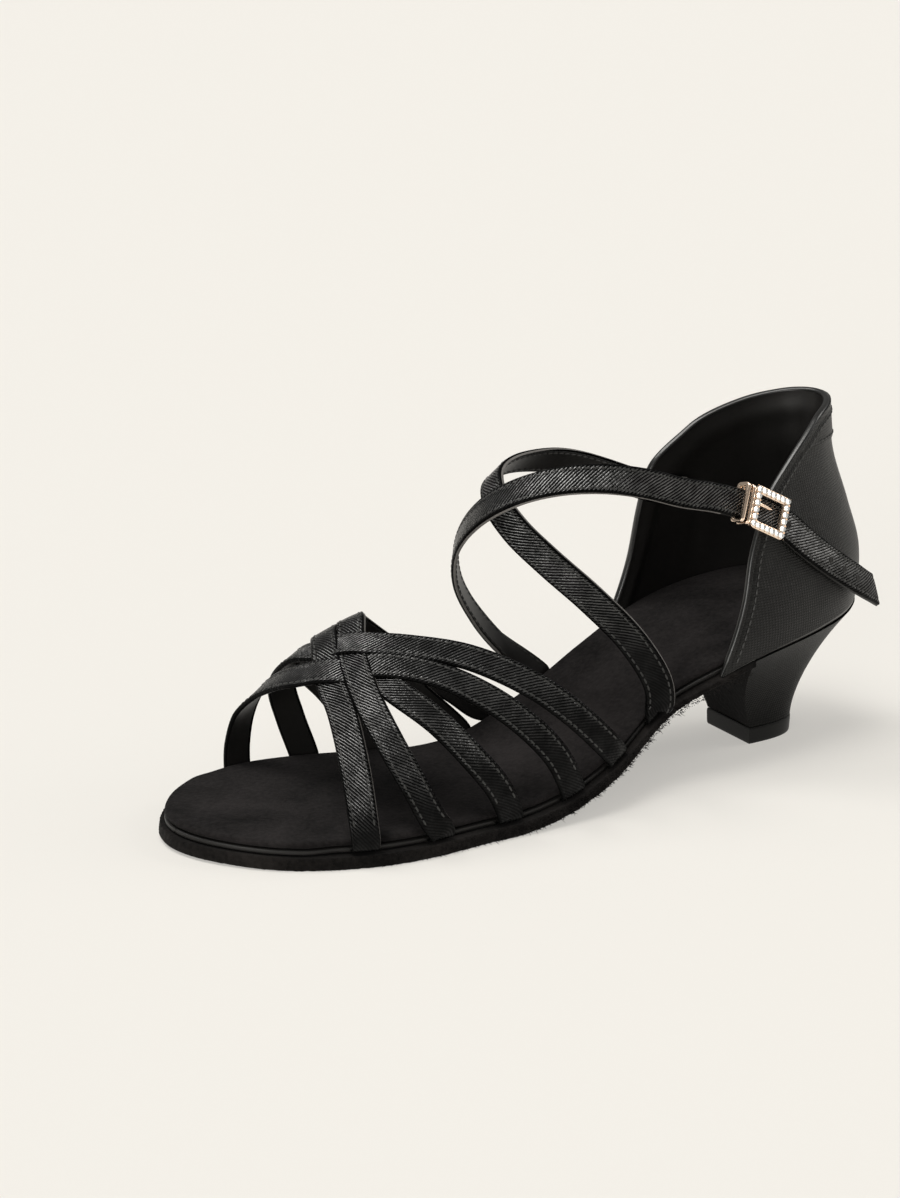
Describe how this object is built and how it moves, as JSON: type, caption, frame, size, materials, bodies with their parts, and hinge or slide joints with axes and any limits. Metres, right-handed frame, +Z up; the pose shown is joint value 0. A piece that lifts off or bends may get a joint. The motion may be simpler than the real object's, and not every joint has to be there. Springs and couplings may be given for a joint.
{
  "type": "dance shoe",
  "caption": "Open-toed dance sandal with a fan of woven straps over the toes, crossed straps over the instep, a buckle, a closed heel cup and a low flared heel; left foot",
  "frame": {"origin": "the centre of the heel tip's face on the floor", "axes": "+X to the outer side of the left foot, -Y to the toe, +Z up"},
  "size_m": [0.0768, 0.2357, 0.1026],
  "materials": {
    "heel_satin": "smooth black satin over a moulded heel",
    "heel_tip": "hard, slightly glossy",
    "suede": "brushed suede with a raw edge",
    "insole_board": "covered board edge",
    "sock_suede": "soft microfibre nap over padding",
    "upper_satin": "fine satin with a soft sheen",
    "strap_satin": "satin with a visible diagonal weave",
    "rose_gold": "polished rose-gold plate"
  },
  "bodies": {
    "root": {"heel": "heel_satin", "heel_tip": "heel_tip", "outsole": "suede", "insole": "insole_board", "sock": "sock_suede", "heel_cup": "upper_satin", "vamp_straps": "strap_satin", "buckled_strap": "strap_satin", "cross_strap": "strap_satin", "buckle": "rose_gold", "buckle_prong": "rose_gold"}
  },
  "joints": []
}
